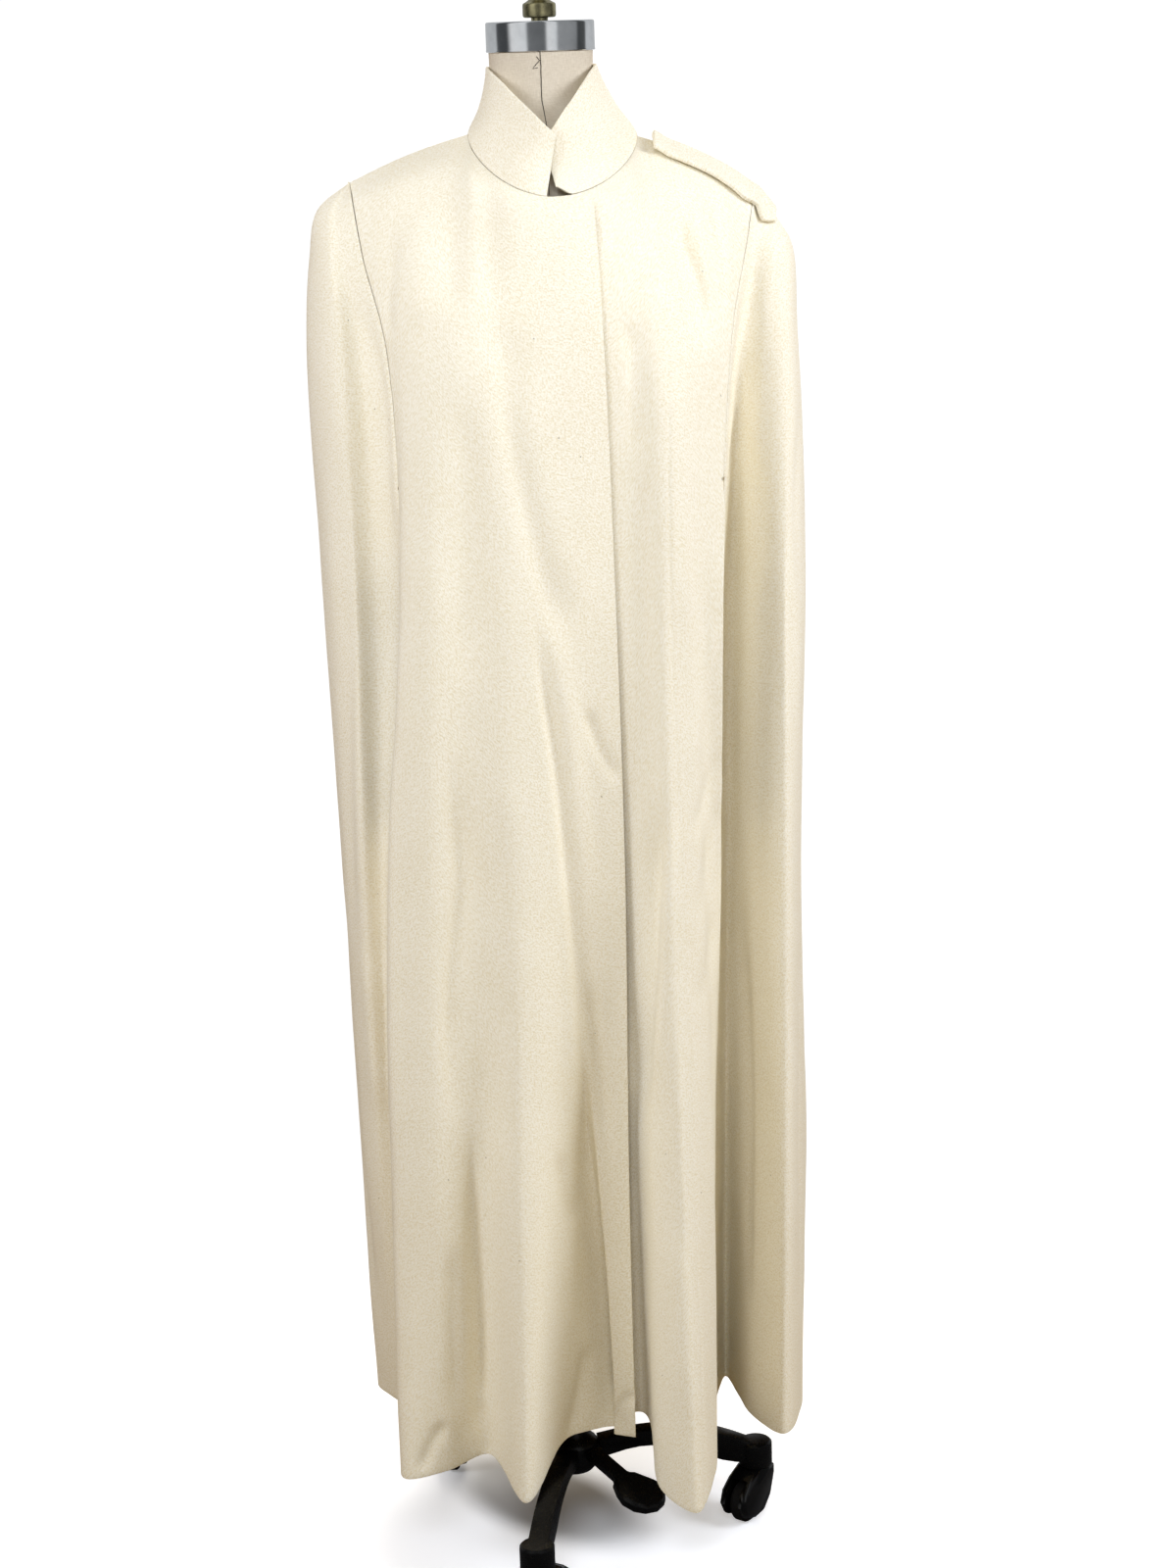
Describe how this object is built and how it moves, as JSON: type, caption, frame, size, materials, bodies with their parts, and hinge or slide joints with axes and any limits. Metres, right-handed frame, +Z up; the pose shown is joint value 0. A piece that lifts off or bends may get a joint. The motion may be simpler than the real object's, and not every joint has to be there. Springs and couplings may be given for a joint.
{
  "type": "wool cape coat on a limbless dress form",
  "caption": "Full-length wool cape coat with a stand collar, lapped front, arm slits and a shoulder strap, on a limbless dress form with a wheeled cast base.",
  "frame": {"origin": "on the floor, under the middle of the bounding box to within 9 mm", "axes": "+Z up, -Y the front of the cape, +X the wearer's left"},
  "size_m": [0.5175, 0.5048, 1.7223],
  "materials": {
    "wool": "matt pebbled wool crepe",
    "linen": "plain woven linen",
    "steel": "brushed",
    "brass": "tarnished satin",
    "iron": "black enamel",
    "hood": "gloss black",
    "tread": "matt black"
  },
  "bodies": {
    "stand": {"hub": "iron", "leg_front": "iron", "leg_left": "iron", "leg_rear": "iron"},
    "form": {"pole": "steel", "form_torso": "linen", "neck_cap": "steel", "finial": "brass", "front_right": "wool", "front_left": "wool", "front_left_side": "wool", "side_right": "wool", "side_left": "wool", "side_left_front": "wool", "back": "wool", "collar": "wool", "epaulette": "wool"},
    "pedal": {"pedal": "iron"},
    "caster_front": {"caster_front_hood": "hood"},
    "wheel_front": {"caster_front_wheel": "tread"},
    "caster_left": {"caster_left_hood": "hood"},
    "wheel_left": {"caster_left_wheel": "tread"},
    "caster_rear": {"caster_rear_hood": "hood"},
    "wheel_rear": {"caster_rear_wheel": "tread"}
  },
  "joints": [
    {"name": "height_slide", "type": "slide", "parent": "stand", "child": "form", "axis": [0, 0, 1], "range_m": [0, 0.2]},
    {"name": "pedal_hinge", "type": "hinge", "parent": "stand", "child": "pedal", "pos_m": [0.01117, -0.04603, 0.105], "axis": [0.7193, 0.6947, 0], "range_deg": [0, 12], "stiffness_Nm_per_rad": 2, "springref_deg": -6.88},
    {"name": "swivel_front", "type": "hinge", "parent": "stand", "child": "caster_front", "pos_m": [-0.05307, -0.22714, 0.062], "axis": [0, 0, 1], "continuous": true},
    {"name": "roll_front", "type": "hinge", "parent": "caster_front", "child": "wheel_front", "pos_m": [-0.04257, -0.20896, 0.0238], "axis": [0.866, -0.5, 0], "continuous": true},
    {"name": "swivel_left", "type": "hinge", "parent": "stand", "child": "caster_left", "pos_m": [0.19442, 0.01185, 0.062], "axis": [0, 0, 1], "continuous": true},
    {"name": "roll_left", "type": "hinge", "parent": "caster_left", "child": "wheel_left", "pos_m": [0.18178, -0.00492, 0.0238], "axis": [-0.7986, 0.6018, 0], "continuous": true},
    {"name": "swivel_rear", "type": "hinge", "parent": "stand", "child": "caster_rear", "pos_m": [-0.15888, 0.13006, 0.062], "axis": [0, 0, 1], "continuous": true},
    {"name": "roll_rear", "type": "hinge", "parent": "caster_rear", "child": "wheel_rear", "pos_m": [-0.15888, 0.15106, 0.0238], "axis": [1, 0, 0], "continuous": true}
  ]
}
